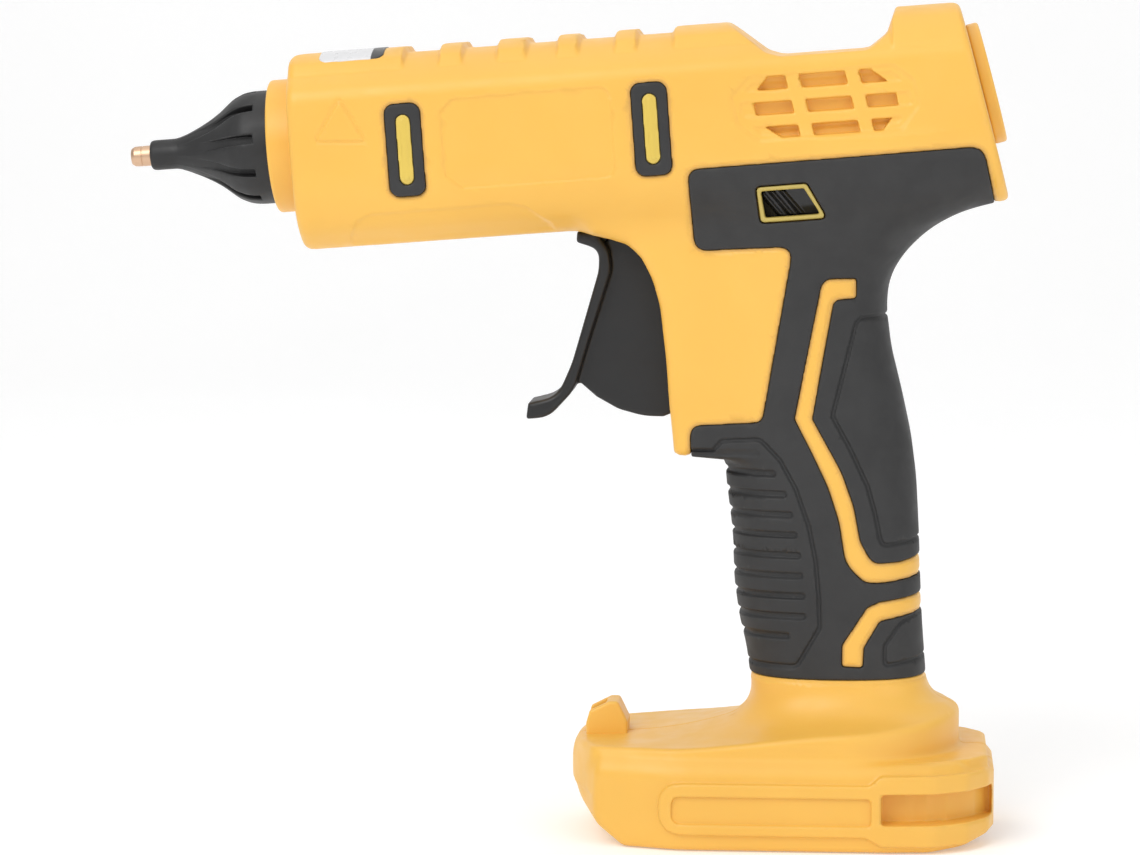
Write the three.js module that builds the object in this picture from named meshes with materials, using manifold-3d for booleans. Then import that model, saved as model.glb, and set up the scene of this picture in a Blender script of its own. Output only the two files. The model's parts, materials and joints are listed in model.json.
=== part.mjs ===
// Cordless hot-glue gun, bare tool, with a slide-on battery foot. Millimetres, +Z up, nozzle towards -X.
// Barrel parts are drawn in a tilted frame: u runs rearward from the nozzle tip, y across, v upward.
import * as THREE from 'three';
import { mergeVertices } from 'three/addons/utils/BufferGeometryUtils.js';
import Module from 'manifold-3d';

const wasm = await Module();
wasm.setup();

// Barrel line
const TILT = THREE.MathUtils.degToRad(4.3);      // nose-down tilt of the barrel
const TIP = { x: -122.4, z: 187.9 };             // nozzle tip
const GAP = 0.3;                                 // clearance between neighbouring pieces
const BARREL_FRONT = 47.8;
const BARREL_HALF_WIDTH = 26;
const BARREL_TOP = 23.4;
const BARREL_BOTTOM = -29;
const RIB_HEIGHT = 1.7;
const REAR_BLOCK_HEIGHT = 2.5;
const REAR_FACE = { u: 233.2, v: 24.8, lean: THREE.MathUtils.degToRad(10.5) };
const WALL = 2.8;

// Handle and foot
const GUARD_HALF = 17;
const RUBBER = 2;                                // overmould thickness
const FOOT_HALF = 38;
const SOCKET_CEILING = 17.5;
const SEAT_HEIGHT = 17.1;                        // underside of the two battery seats

// Trigger and feed
const PIVOT = { u: 138.8, v: -26.4 };
const STICK_BORE = 6.4;
const PIN_LIFT = 15.4;                           // drive pin height over the trigger pivot
const ARM_REST = THREE.MathUtils.degToRad(8);    // drive arm leans back at rest
const DRIVE_PIN = { u: PIVOT.u + PIN_LIFT * Math.tan(ARM_REST), v: PIVOT.v + PIN_LIFT };

// Materials by name
const LOOKS = {
  abs: [0xf0b93a, 0.45, 0],
  rubber: [0x303030, 0.85, 0],
  black: [0x222222, 0.4, 0],
  brass: [0xc89a5a, 0.35, 1],
  alloy: [0xb8bcc0, 0.45, 1],
  steel: [0x9a9ea3, 0.35, 1],
  ceramic: [0xe6e2d8, 0.6, 0],
  silicone: [0x8a2f22, 0.7, 0],
  board: [0x1f5a36, 0.5, 0],
  lens: [0xf4f4ea, 0.1, 0],
  olive: [0xcdb45a, 0.5, 0],
};

const root = new THREE.Group();
root.name = 'glue_gun';
const barrelLine = new THREE.Group();
barrelLine.name = 'barrel_line';
barrelLine.position.set(TIP.x, 0, TIP.z);
barrelLine.rotation.y = -TILT;
root.add(barrelLine);

// Solids and geometry
function solid(geometry, tolerance = 1e-4) {
  const g = geometry.clone();
  g.deleteAttribute('normal');
  g.deleteAttribute('uv');
  const m = mergeVertices(g, tolerance);
  return new wasm.Manifold(new wasm.Mesh({
    numProp: 3,
    vertProperties: new Float32Array(m.attributes.position.array),
    triVerts: new Uint32Array(m.index.array),
  }));
}

function geometryOf(manifold) {
  const mesh = manifold.getMesh();
  const g = new THREE.BufferGeometry();
  g.setAttribute('position', new THREE.BufferAttribute(new Float32Array(mesh.vertProperties), 3));
  g.setIndex(new THREE.BufferAttribute(new Uint32Array(mesh.triVerts), 1));
  g.computeVertexNormals();
  return g;
}

function add(name, look, shape, parent = root) {
  const [color, roughness, metalness] = LOOKS[look];
  const geometry = shape.isBufferGeometry ? shape : geometryOf(shape);
  const mesh = new THREE.Mesh(geometry, new THREE.MeshStandardMaterial({ color, roughness, metalness }));
  mesh.name = name;
  mesh.material.name = look;
  parent.add(mesh);
  return mesh;
}

const toWorld = new THREE.Matrix4().makeRotationY(-TILT).setPosition(TIP.x, 0, TIP.z);

function placed(manifold) {
  return manifold.transform(toWorld.elements);
}

function outline(points) {
  return new THREE.Shape(points.map(([a, b]) => new THREE.Vector2(a, b)));
}

// Side view outline, extruded across from y0 to y1
function slab(points, y0, y1) {
  const g = new THREE.ExtrudeGeometry(outline(points), { depth: y1 - y0, bevelEnabled: false });
  g.rotateX(Math.PI / 2);
  g.translate(0, y1, 0);
  return solid(g);
}

// Upright shape from rings [z, front x, rear x, half width], oval in plan, shrunk by inset
function oval(rings, inset, sides = 20) {
  const g = new THREE.CylinderGeometry(1, 1, 1, sides, rings.length - 1);
  g.rotateX(Math.PI / 2);
  const p = g.attributes.position;
  for (let i = 0; i < p.count; i++) {
    const [z, front, rear, half] = rings[Math.round((p.getZ(i) + 0.5) * (rings.length - 1))];
    const a = Math.atan2(p.getY(i), p.getX(i));
    const r = Math.hypot(p.getX(i), p.getY(i));
    const round = (c) => Math.sign(c) * Math.abs(c) ** 0.8;
    const x = r * round(Math.cos(a)) * ((rear - front) / 2 - inset);
    const y = r * round(Math.sin(a)) * (half - inset);
    p.setXYZ(i, (front + rear) / 2 + x, y, z);
  }
  return solid(g);
}

// Plan view outline, extruded from z0 to z1
function plate(points, z0, z1) {
  const g = new THREE.ExtrudeGeometry(outline(points), { depth: z1 - z0, bevelEnabled: false });
  g.translate(0, 0, z0);
  return solid(g);
}

function box(x0, x1, y0, y1, z0, z1) {
  const g = new THREE.BoxGeometry(x1 - x0, y1 - y0, z1 - z0);
  g.translate((x0 + x1) / 2, (y0 + y1) / 2, (z0 + z1) / 2);
  return solid(g);
}

// Cylinder across the tool, its axis along y
function crossPin(x, z, r, y0, y1, sides = 24) {
  const g = new THREE.CylinderGeometry(r, r, y1 - y0, sides);
  g.translate(x, (y0 + y1) / 2, z);
  return solid(g);
}

// Cylinder along the barrel
function rod(y, v, r, u0, u1, sides = 24) {
  const g = new THREE.CylinderGeometry(r, r, u1 - u0, sides);
  g.rotateZ(-Math.PI / 2);
  g.translate((u0 + u1) / 2, y, v);
  return solid(g);
}

// Turned shape about the barrel line, profile as [u, radius]; a profile off the axis is closed into a ring
function turned(profile, sides = 24) {
  const closed = profile[0][1] > 0 ? [...profile, profile[0]] : profile;
  const g = new THREE.LatheGeometry(closed.map(([u, r]) => new THREE.Vector2(r, u)), sides);
  g.rotateZ(-Math.PI / 2);
  return solid(fixWinding(g));
}

// Faces outward whichever way the profile runs
function fixWinding(g) {
  const index = g.index.array;
  const p = g.attributes.position;
  let volume = 0;
  const a = new THREE.Vector3();
  const b = new THREE.Vector3();
  const c = new THREE.Vector3();
  for (let i = 0; i < index.length; i += 3) {
    a.fromBufferAttribute(p, index[i]);
    b.fromBufferAttribute(p, index[i + 1]);
    c.fromBufferAttribute(p, index[i + 2]);
    volume += a.dot(b.cross(c));
  }
  if (volume < 0) {
    for (let i = 0; i < index.length; i += 3) {
      const t = index[i];
      index[i] = index[i + 1];
      index[i + 1] = t;
    }
  }
  return g;
}

// Barrel cross-section as [y, v], shrunk by inset
function section(inset, top = BARREL_TOP) {
  const w = BARREL_HALF_WIDTH - inset;
  const s = inset * 0.6;
  const right = [
    [0, BARREL_BOTTOM + inset],
    [13 - s, BARREL_BOTTOM + inset],
    [22 - inset * 0.8, -23 + inset * 0.6],
    [w, -14],
    [w, 14 - s],
    [20 - inset * 0.8, 20 - s],
    [12 - s, top - inset],
  ];
  return right.concat(right.slice(1).reverse().map(([y, v]) => [-y, v]));
}

function sectionPrism(u0, u1, inset, top) {
  const g = new THREE.ExtrudeGeometry(outline(section(inset, top)), { depth: u1 - u0, bevelEnabled: false });
  // shape x runs along y, shape y along v, depth along u
  const m = new THREE.Matrix4().makeBasis(
    new THREE.Vector3(0, 1, 0), new THREE.Vector3(0, 0, 1), new THREE.Vector3(1, 0, 0));
  g.applyMatrix4(m);
  g.translate(u0, 0, 0);
  return solid(g);
}

// Everything behind the slanted rear face, shifted forward by inset
function behindRear(inset) {
  const lean = Math.tan(REAR_FACE.lean);
  const at = (v) => REAR_FACE.u + (REAR_FACE.v - v) * lean - inset;
  return slab([[at(60), 60], [at(-60), -60], [300, -60], [300, 60]], -60, 60);
}

// Dip in the top between the last rib and the rear block
function topDip(inset) {
  return slab([
    [168, 60], [169.5 - inset, 25.5 - inset], [178 - inset, 16.6 - inset], [182, 15 - inset],
    [208, 15 - inset], [212.5 + inset, 18.5 - inset], [216 + inset, 25.6 - inset], [217, 60],
  ], -60, 60);
}

const GRIP = [
  [33, 53, 101.4, 19.8], [52, 50.6, 99.9, 19.5], [60, 48.6, 99.3, 19.4], [70.4, 47.1, 98.8, 19.3],
  [84, 46.6, 98.3, 19.2], [100, 44.6, 97.4, 19], [112, 44, 95.8, 18.8], [123.5, 43.5, 93.3, 18.6],
  [136, 43, 90.2, 18.6], [147, 42, 88.8, 19], [154.5, 41, 89.4, 19.6], [160.4, 40, 92.2, 20.4],
  [166, 39, 97, 21.4], [172.2, 38, 105, 22.4], [176.2, 38, 112.7, 23.2], [178.6, 38, 121, 23.8], [195, 38, 121, 24.5],
];
const GUARD = [
  [9.3, 185], [9.3, 169], [17.6, 165.1], [21.5, 161], [24.5, 155.2], [26.6, 147.8],
  [28.3, 133], [29.2, 120.7], [30.6, 107.4], [32, 106.6], [44, 105.6], [62, 104], [72, 112], [72, 185],
];

function guardShape(inset) {
  const half = GUARD_HALF - inset;
  const points = GUARD.map(([x, z]) => [x < 70 ? x + inset : x, z < 115 ? z + inset * 0.8 : z]);
  return slab(points, -half, half);
}

// Solid outer shape of barrel and handle together, shrunk by inset
function bodyShape(inset) {
  let barrel = sectionPrism(BARREL_FRONT + inset, 250, inset)
    .add(sectionPrism(216, 250, inset, BARREL_TOP + REAR_BLOCK_HEIGHT))
    .subtract(topDip(inset));
  if (inset === 0) {
    const ribs = [[BARREL_FRONT, 80.5], [90.2, 96.8], [106.2, 114.4], [122.7, 128.8], [138.6, 144.8], [154.7, 169.5]];
    for (const [u0, u1] of ribs) {
      barrel = barrel.add(sectionPrism(u0, u1, -0.9, BARREL_TOP + RIB_HEIGHT - 0.9)
        .intersect(box(0, 260, -30, 30, 18.6, 40)));
    }
  }
  return placed(barrel)
    .add(oval(GRIP, inset))
    .add(guardShape(inset))
    .subtract(placed(behindRear(inset)));
}

// Foot
const FOOT_SIDE = [
  [20, 0], [6, 9.5], [1.6, 15], [0.8, 21], [3.5, 26], [9, 27.5], [60, 29], [118.5, 28.5],
  [118.5, 21.5], [120.2, 20], [120.2, 4], [112, 1], [101, 0],
];
const FOOT_PLAN_HALF = [
  [0.8, 0], [1.6, -10], [5, -21], [11, -29.5], [20, -35.5], [32, -FOOT_HALF], [90, -FOOT_HALF],
  [103, -36.5], [112, -31], [118, -22.5], [120.2, -14], [120.2, 0],
];
const SOCKET_PLAN_HALF = [
  [16, 0], [16, -22], [24, -29.5], [95, -30.5], [106, -27], [113, -20], [116.2, -14], [121, -12], [121, 0],
];

function mirrored(half) {
  return half.concat(half.slice(1, -1).reverse().map(([x, y]) => [x, -y]));
}

function footShape() {
  const shell = plate(mirrored(FOOT_PLAN_HALF), 0, 40).intersect(slab(FOOT_SIDE, -60, 60));
  const platform = [];
  for (let i = 0; i <= 14; i++) {
    const a = -Math.PI / 2 + Math.PI * i / 14;
    platform.push([80 + 29 * Math.cos(a), 29 * Math.sin(a)]);
  }
  platform.push([58, 27], [48, 20], [46, 0], [48, -20], [58, -27]);
  const g = new THREE.ExtrudeGeometry(outline(platform), {
    depth: 4, bevelEnabled: true, bevelThickness: 7, bevelSize: 7, bevelOffset: -7, bevelSegments: 2,
  });
  g.translate(0, 0, 24);
  const socket = plate(mirrored(SOCKET_PLAN_HALF), -1, SOCKET_CEILING);
  let foot = shell.add(solid(g)).subtract(socket);
  for (const side of [-1, 1]) {
    const y0 = Math.min(side * 27, side * 32);
    foot = foot.add(box(34, 96, y0, y0 + 5, 3.2, 7));
    const w0 = Math.min(side * 12, side * 60);
    foot = foot.subtract(box(88.5, 125, w0, w0 + 48, 8, 16.5));
    // low pad on the socket ceiling that the battery's top bears on
    const s0 = Math.min(side * 18, side * 25);
    foot = foot.add(box(58, 92, s0, s0 + 7, SEAT_HEIGHT, SOCKET_CEILING + 1));
  }
  // wiring space over the socket ceiling
  return foot.subtract(box(24, 96, -31, 31, SOCKET_CEILING + 2.5, 25.8));
}

// Overmould outline in side view, with the two yellow stripes as cut-outs
const RUBBER_OUTLINE = [
  [34.9, 186], [36.3, 168], [40, 163.6], [59.4, 164.6], [62.7, 161.5], [58.9, 139.3], [55.8, 119.4],
  [52.7, 116.1], [37.9, 115.2], [35.4, 112.4], [35.4, 100], [40, 100], [40, 46.5], [60.3, 45.6], [89.2, 45.6],
  [110, 47.5], [110, 170], [130, 170], [119.5, 182.5], [117.5, 189.4], [114, 191.6], [38.5, 186.6],
];
const MAIN_STRIPE = [
  [80.4, 155.7], [73.7, 155.5], [71, 153.4], [64.1, 117.2], [68.8, 108.1], [73.2, 98.8], [76.5, 89.5],
  [78.8, 77.3], [82.7, 73.2], [88, 72], [110, 76.5], [110, 82], [92, 77.3], [87.6, 77.2], [84.2, 79.5], [81.5, 87],
  [77, 102], [68.5, 117.2], [74.2, 149.9], [80.4, 150.7],
];
const LOWER_STRIPE = [
  [110, 71.5], [87.7, 67.2], [84.7, 65.5], [77.5, 54.8], [77.3, 49], [83.1, 48.5], [83.4, 54.1], [87.7, 61.3],
  [110, 66],
];

function grown(points, by) {
  const shape = outline(points);
  const g = new THREE.ExtrudeGeometry(shape, {
    depth: 79, bevelEnabled: true, bevelThickness: 0.5, bevelSize: 0, bevelOffset: by, bevelSegments: 1,
  });
  g.rotateX(Math.PI / 2);
  g.translate(0, 39.5, 0);
  return solid(g);
}

function rubberRegion(grow) {
  return grown(RUBBER_OUTLINE, grow).subtract(grown(MAIN_STRIPE, -grow)).subtract(grown(LOWER_STRIPE, -grow));
}

const outer = bodyShape(0);
const underRubber = bodyShape(RUBBER);
const underShell = bodyShape(RUBBER + WALL - 0.6);

// Pads on both sides, tilted with the barrel
const PADS = { front: 79.8, rear: 147.3 };
function padOutline(u, grow) {
  const a = 5.7 + grow;
  const h = 12.7 + grow;
  const c = 2.4;
  const pts = [[-a + c, -h], [a - c, -h], [a, -h + c], [a, h - c], [a - c, h], [-a + c, h], [-a, h - c], [-a, -h + c]];
  return pts.map(([x, y]) => [u + x, y - 2.5]);
}

function padSolid(u, side, grow, depth) {
  const w = BARREL_HALF_WIDTH;
  const y0 = side < 0 ? -w - 0.5 : w - depth;
  const pad = placed(slab(padOutline(u, grow), y0, y0 + depth + 0.5));
  return grow > 0 ? pad : pad.intersect(outer);
}

// Slot through a pad, grown on every side
function slotSolid(u, grow) {
  const [left, right, low, high] = [u - 2.3 - grow, u + 2.3 + grow, -10.5 - grow, 5.5 + grow];
  return placed(slab([[left, low], [right, low], [right, high], [left, high]], -60, 60));
}

// Screw places in the world frame [x, z], depth of the right wall seat
const SCREWS = [
  [-53, 171.5, 13], [-29.5, 213, 9], [-20, 171.5, 13], [99, 225, 9],
  [112, 187.5, 13], [72, 152, 14], [61, 108.5, 13], [74, 53.5, 13],
];

// Trigger slot and sweep room, a sector about the pivot
const PIVOT_X = TIP.x + PIVOT.u * Math.cos(TILT) - PIVOT.v * Math.sin(TILT);
const PIVOT_Z = TIP.z + PIVOT.u * Math.sin(TILT) + PIVOT.v * Math.cos(TILT);
function aroundPivot(r, degrees) {
  const a = THREE.MathUtils.degToRad(degrees);
  return [PIVOT_X + r * Math.sin(a), PIVOT_Z - r * Math.cos(a)];
}

function sector(r, from, to, steps) {
  const pts = [];
  for (let i = 0; i <= steps; i++) pts.push(aroundPivot(r, from + (to - from) * i / steps));
  return pts;
}

const WEB_RADIUS = 56;
const triggerRoom = slab([
  [PIVOT_X - 10, PIVOT_Z + 9], [PIVOT_X - 14, PIVOT_Z - 12], ...sector(WEB_RADIUS + 1.2, -14, 44, 8),
  [PIVOT_X + 14, PIVOT_Z + 9],
], -7.6, 7.6);

// Hollow of the barrel and handle, the nozzle opening and the stick inlet
function inside() {
  const barrel = placed(sectionPrism(BARREL_FRONT + 2.4, 250, WALL)
    .subtract(topDip(WALL))
    .subtract(behindRear(WALL)));
  const openings = placed(rod(0, 0, 18.8, 40, 60, 24)
    .add(turned([[52.2, 0], [52.2, 21], [50, 21], [50, 0]], 24))
    .add(rod(0, 0, 9.6, 225, 250, 24)));
  const throat = box(60, 92, -12, 12, 22, 60);
  return barrel.add(underShell).add(openings).add(triggerRoom).add(throat);
}

// Screw columns and the trigger pin's post
function bossesFor(side) {
  let bosses = crossPin(PIVOT_X, PIVOT_Z, 4.6, ...(side < 0 ? [-24, -8.2] : [8.2, 24]), 16);
  for (const [x, z] of SCREWS) {
    bosses = bosses.add(crossPin(x, z, 3.6, ...(side < 0 ? [-24, -GAP / 2] : [GAP / 2, 24]), 10));
  }
  return bosses;
}

// Everything on one side of the parting plane
function halfSpace(side) {
  return side < 0 ? box(-200, 200, -60, -GAP / 2, -5, 300) : box(-200, 200, GAP / 2, 60, -5, 300);
}

function housing(side) {
  const recess = rubberRegion(GAP).subtract(underRubber);
  let shape = outer.subtract(recess).add(footShape());
  shape = shape.subtract(inside());
  shape = shape.add(bossesFor(side).intersect(bodyShape(RUBBER + 0.4)).subtract(triggerRoom));
  for (const u of [PADS.front, PADS.rear]) {
    shape = shape.subtract(padSolid(u, side, GAP, 1.6).subtract(slotSolid(u, 0)));
  }
  for (const [x, z, seat] of SCREWS) {
    shape = shape.subtract(crossPin(x, z, 1.7, -9, 40, 8));
    shape = shape.subtract(crossPin(x, z, 3.1, seat - 3, 40, 10));
  }
  shape = shape.subtract(crossPin(PIVOT_X, PIVOT_Z, 2.3, -16.3, 16.3, 16));
  shape = shape.subtract(box(POST.x - 2.3, POST.x + 2.3, 6, 14.8, POST.z - 2.3, POST.z + 2.3));
  if (side < 0) {
    shape = shape.subtract(slab(WINDOW_OUTER, -30, -14)).subtract(slab(SLIDER_ROOM, -18.6, -10));
  }
  shape = shape.subtract(slab(HOOD_POCKET, -6.3, 6.3));
  return shape.intersect(halfSpace(side));
}

// Slide switch on the left side
const WINDOW_OUTER = [[53.1, 181.2], [67, 182.4], [72.4, 173.6], [70.8, 172.3], [54.4, 171.2]];
const WINDOW_INNER = [[55, 179.6], [66, 180.5], [69.8, 174.5], [56.1, 173.2]];
const SLIDER_ROOM = [[49, 183.5], [74, 185], [75.5, 170.5], [50.5, 169.5]];

// Spring post, lamp hood
const POST = { x: 33, z: 150 };
const SPRING = { x: 33, top: 168 };
const HOOD_POCKET = [[5.3, 22.5], [5.3, 40], [17.6, 40], [17.6, 22.5]];

function grownWindow(by) {
  const cx = 62;
  const cz = 176.8;
  return WINDOW_OUTER.map(([x, z]) => [x + Math.sign(x - cx) * by, z + Math.sign(z - cz) * by]);
}

// The main body of a solid, with vertices closer than a few microns joined
function settled(m) {
  let shape = m;
  for (let i = 0; i < 2; i++) {
    const parts = solid(geometryOf(shape), 1e-3).decompose();
    parts.sort((a, b) => b.volume() - a.volume());
    shape = parts[0];
  }
  return shape;
}

// Housing halves, overmoulds and pads
const peeledRubber = outer.intersect(rubberRegion(0)).subtract(bodyShape(RUBBER - GAP));
for (const [name, side] of [['left', -1], ['right', 1]]) {
  let skin = peeledRubber.intersect(halfSpace(side));
  if (side < 0) {
    skin = skin.subtract(slab(grownWindow(GAP), -40, 0));
  } else {
    for (const [x, z] of SCREWS) skin = skin.subtract(crossPin(x, z, 3.4, 5, 40, 10));
  }
  add(`${name}_housing`, 'abs', settled(housing(side)));
  add(`${name}_grip_overmould`, 'rubber', settled(skin));
  for (const [place, u] of Object.entries(PADS)) {
    add(`${name}_${place}_pad`, 'rubber', padSolid(u, side, 0, 1.3).subtract(slotSolid(u, GAP)));
  }
}

// Barrel-line pieces
add('nozzle', 'brass', turned([
  [0, 0.9], [0, 2.2], [0.8, 2.85], [21.6, 2.85], [21.6, 5.6], [27, 5.6], [27, 3.6], [33, 3.6], [33, 0.9],
], 20), barrelLine);

add('nozzle_boot', 'rubber', turned([
  [5.5, 3.15], [5.5, 3.7], [6.3, 4.3], [12.6, 4.4], [19.8, 7], [25.4, 10.4], [29.8, 13.9], [32.8, 15.5], [36, 15.8],
  [45, 15.8], [45, 13.8], [34, 13.6], [31, 12.2], [27, 8.6], [20.5, 6.2], [20.5, 3.15],
]), barrelLine);

add('nose_collar', 'abs', turned([
  [40.6, 16.1], [40.6, 17.3], [41.8, 18.5], [50.3, 18.5], [50.3, 20.6], [51.9, 20.6], [51.9, 14.2], [45.3, 14.2],
  [45.3, 16.1],
]), barrelLine);

const chamberBore = 5.8;
const chamber = turned([
  [27.4, 3.9], [27.4, 7], [32, 9], [80, 9], [80, 7.6], [92, 7.6], [92, chamberBore], [44, chamberBore], [36, 3.9],
], 20);
let chamberBody = chamber.add(box(58, 81.2, -6.5, 6.5, -9.8, -6.6).subtract(rod(0, 0, 8.4, 50, 90, 20)));
for (const u of [36, 40, 44]) {
  const fin = rod(0, 0, 11, u, u + 1.6, 20).subtract(rod(0, 0, 8, u - 1, u + 3, 20));
  chamberBody = chamberBody.add(fin);
}
add('melt_chamber', 'alloy', chamberBody, barrelLine);

add('heater_plate', 'ceramic', box(58.6, 80.6, -6, 6, -13, -10.1), barrelLine);

const clampOuter = clampBand(62, 77, 10.4, 9, -14.5);
const clampInner = clampBand(61, 78, 9.5, 8, -13.4);
add('heater_clamp', 'steel', clampOuter.subtract(clampInner), barrelLine);

function clampBand(u0, u1, r, half, low) {
  return rod(0, 0, r, u0, u1, 20).add(box(u0, u1, -half, half, low, 0));
}

add('thermal_fuse', 'steel', rod(0, 13, 2.1, 63, 76, 14), barrelLine);

function supportPlate(u0, u1, bore) {
  return sectionPrism(u0, u1, WALL + 3 * GAP, BARREL_TOP).subtract(rod(0, 0, bore, u0 - 1, u1 + 1, 20));
}

const frontSupport = supportPlate(53.5, 56.5, 9.3).subtract(box(50, 60, -4, 4, -22, -15));
const rearSupport = supportPlate(83, 86, 7.9).subtract(box(80, 90, -4, 4, -22, -15));
add('front_chamber_support', 'ceramic', frontSupport, barrelLine);
add('rear_chamber_support', 'ceramic', rearSupport, barrelLine);

add('inlet_sleeve', 'silicone', turned([
  [86.4, 7.9], [86.4, 9.8], [105, 9.8], [105, 6.2], [92.3, 6.2], [92.3, 7.9],
], 20), barrelLine);
add('inlet_clamp', 'steel', rod(0, 0, 11.2, 88, 91, 24).add(box(88, 91, -2, 2, 9, 15.5))
  .subtract(rod(0, 0, 10.1, 80, 100, 24)).subtract(box(80, 100, -0.6, 0.6, 9, 16)), barrelLine);

// Feed: two brackets, two rods, the carriage and its gripper
const ROD = { y: 11.5, v: -3, r: 1.5 };
function rodHoles(shape, r, u0, u1) {
  return shape.subtract(rod(ROD.y, ROD.v, r, u0, u1, 16)).subtract(rod(-ROD.y, ROD.v, r, u0, u1, 16));
}

function bracket(u0, u1) {
  const plateShape = sectionPrism(u0, u1, WALL + 3 * GAP, BARREL_TOP)
    .subtract(rod(0, 0, STICK_BORE, u0 - 1, u1 + 1, 24))
    .subtract(box(u0 - 1, u1 + 1, -30, 30, -40, -13));
  return rodHoles(plateShape, 1.8, u0 - 1, u1 + 1);
}

add('front_rod_bracket', 'black', bracket(107, 110), barrelLine);
add('rear_rod_bracket', 'black', bracket(158, 161), barrelLine);
add('left_guide_rod', 'steel', rod(-ROD.y, ROD.v, ROD.r, 106, 162, 16), barrelLine);
add('right_guide_rod', 'steel', rod(ROD.y, ROD.v, ROD.r, 106, 162, 16), barrelLine);

const CARRIAGE = { u0: DRIVE_PIN.u - 9, u1: DRIVE_PIN.u + 9 };
const GRIPPER_PIVOT = { u: DRIVE_PIN.u + 1, v: 10.6 };
let carriage = box(CARRIAGE.u0, CARRIAGE.u1, -15, 15, -7.6, 7.8)
  .add(box(DRIVE_PIN.u - 4, DRIVE_PIN.u + 4, -7.2, 7.2, -14, -7))
  .add(box(GRIPPER_PIVOT.u - 3.5, GRIPPER_PIVOT.u + 3.5, -6, 6, 7, 13.5))
  .subtract(box(DRIVE_PIN.u - 9, DRIVE_PIN.u + 9, -3.9, 3.9, -20, -7.2))
  .subtract(box(CARRIAGE.u0 + 2, CARRIAGE.u1 - 2, -3.1, 3.1, 0, 20))
  .add(crossPin(DRIVE_PIN.u, DRIVE_PIN.v, 2, -6, 6, 16))
  .add(crossPin(GRIPPER_PIVOT.u, GRIPPER_PIVOT.v, 1.3, -5, 5, 16))
  .subtract(rod(0, 0, STICK_BORE, 100, 170, 24));
carriage = rodHoles(carriage, 1.62, 100, 170);
add('stick_carriage', 'black', carriage, barrelLine);

const gripperSide = [
  [-6.2, -3.6], [-5.2, -2.6], [-4.6, -3.6], [-3.6, -2.6], [-3, -3.6], [-2, -2.4], [2.6, -2.4], [2.6, 2.4],
  [-2.4, 2.4], [-6.2, -0.8],
].map(([u, v]) => [GRIPPER_PIVOT.u + u, GRIPPER_PIVOT.v + v]);
const gripper = slab(gripperSide, -2.8, 2.8)
  .subtract(crossPin(GRIPPER_PIVOT.u, GRIPPER_PIVOT.v, 1.38, -5, 5, 16));
add('stick_gripper', 'steel', gripper, barrelLine);

// Rear cap with its guide tube
const capTilt = new THREE.Matrix4().makeRotationY(-REAR_FACE.lean).setPosition(237.7, 0, 2.9);
const capDisc = new THREE.LatheGeometry([
  [0, 0], [16.4, 0], [17.2, 0.8], [17.2, 3.4], [16, 4.4], [0, 4.4],
].map(([r, h]) => new THREE.Vector2(r, h)), 28);
capDisc.rotateZ(-Math.PI / 2);
const disc = solid(fixWinding(capDisc)).transform(capTilt.elements);
const guideTube = rod(0, 0, 9.2, 203, 240, 24)
  .intersect(slab([[203, -20], [240.5, -20], [234, 30], [203, 30]], -20, 20));
add('rear_cap', 'abs', disc.add(guideTube).subtract(rod(0, 0, STICK_BORE, 190, 260, 24)), barrelLine);

// Trigger, drawn at rest in the world frame
const strip = [
  [3.4, 168], [3.2, 165.7], [4.4, 164.6], [8, 162.8], [9.5, 159.9], [9.3, 157.4], [6.6, 148.4], [1.8, 131.3],
  [-0.4, 126.2], [-3.2, 122.6], [-6.9, 120.8], [-10.2, 120.1], [-10.9, 116.6], [-10.3, 115.6], [-5.8, 116.4],
  [-1.3, 119.2], [2.3, 123.4], [5.2, 128.5], [8.2, 139], [12.5, 153.5], [13.6, 160], [13, 165], [11.5, 168],
];
const web = [
  [3.4, 127], [5.2, 125.3], [6.6, 123.9], ...sector(WEB_RADIUS, -11.4, 20, 6), aroundPivot(34, 24),
  aroundPivot(20, 60), aroundPivot(18.5, 92), aroundPivot(9, 125), aroundPivot(7, -60), [10, 162], [8, 150], [4, 134],
];
const armFrame = (h, w) => {
  const a = ARM_REST - TILT;
  return [PIVOT_X + h * Math.sin(a) + w * Math.cos(a), PIVOT_Z + h * Math.cos(a) - w * Math.sin(a)];
};
const slotHalf = 2.25;
const pinReach = PIN_LIFT / Math.cos(ARM_REST);
const arm = [
  armFrame(2, -6), armFrame(pinReach + 3, -5), armFrame(pinReach + 3, -slotHalf), armFrame(pinReach - 3, -slotHalf),
  armFrame(pinReach - 3, slotHalf), armFrame(pinReach + 3, slotHalf), armFrame(pinReach + 3, 5), armFrame(2, 6),
];
const triggerSolid = slab(strip, -9, 9)
  .add(slab(web, -6, 6))
  .add(slab(arm, -3.4, 3.4))
  .add(crossPin(PIVOT_X, PIVOT_Z, 7, -6.6, 6.6, 24))
  .add(crossPin(SPRING.x, SPRING.top, 1.3, 4, 12.4, 12))
  .subtract(crossPin(PIVOT_X, PIVOT_Z, 2.07, -20, 20, 24));
add('trigger', 'black', triggerSolid);
add('trigger_pin', 'steel', crossPin(PIVOT_X, PIVOT_Z, 2, -16, 16, 24));

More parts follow.
